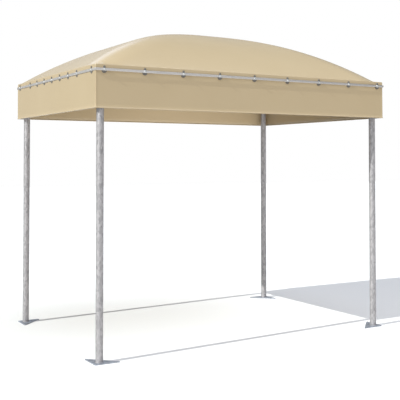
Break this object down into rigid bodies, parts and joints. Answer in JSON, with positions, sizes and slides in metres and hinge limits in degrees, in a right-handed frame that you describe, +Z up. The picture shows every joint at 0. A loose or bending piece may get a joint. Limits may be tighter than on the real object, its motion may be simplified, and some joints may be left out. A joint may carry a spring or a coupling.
{
  "type": "dome gazebo",
  "caption": "Open-sided gazebo: round galvanised posts on triangular base plates carry a rectangular eaves frame and a vaulted tarpaulin dome with a straight valance, held by clamp rails.",
  "frame": {"origin": "on the ground, under the crown, in the middle of the plan", "axes": "+X along the long side, +Y to the back, +Z up"},
  "size_m": [3.025, 2.025, 2.8155],
  "materials": {
    "galvanised_steel": "hot-dip galvanised, dull grey with a mottled spangle",
    "clamp_steel": "galvanised flat bar, even satin grey",
    "tarpaulin": "coated polyester tarpaulin, sand beige, satin",
    "spacer_rubber": "moulded rubber spacer disc, dull dark grey",
    "bolt_steel": "bright zinc-plated bolt head"
  },
  "bodies": {
    "root": {"base_plate_front_left": "galvanised_steel", "base_plate_front_right": "galvanised_steel", "base_plate_back_left": "galvanised_steel", "base_plate_back_right": "galvanised_steel", "post_front_left": "galvanised_steel", "post_front_right": "galvanised_steel", "post_back_left": "galvanised_steel", "post_back_right": "galvanised_steel", "post_cap_front_left": "galvanised_steel", "post_cap_front_right": "galvanised_steel", "post_cap_back_left": "galvanised_steel", "post_cap_back_right": "galvanised_steel", "eaves_beam_front": "galvanised_steel", "eaves_beam_back": "galvanised_steel", "eaves_beam_left": "galvanised_steel", "eaves_beam_right": "galvanised_steel", "hip_arch_front_left": "galvanised_steel", "hip_arch_front_right": "galvanised_steel", "hip_arch_back_left": "galvanised_steel", "hip_arch_back_right": "galvanised_steel", "crown_hub": "galvanised_steel", "roof_panel_front": "tarpaulin", "roof_panel_back": "tarpaulin", "roof_panel_left": "tarpaulin", "roof_panel_right": "tarpaulin", "valance_front": "tarpaulin", "valance_back": "tarpaulin", "valance_left": "tarpaulin", "valance_right": "tarpaulin", "clamp_rail_front": "clamp_steel", "clamp_rail_back": "clamp_steel", "clamp_rail_left": "clamp_steel", "clamp_rail_right": "clamp_steel"}
  },
  "joints": []
}
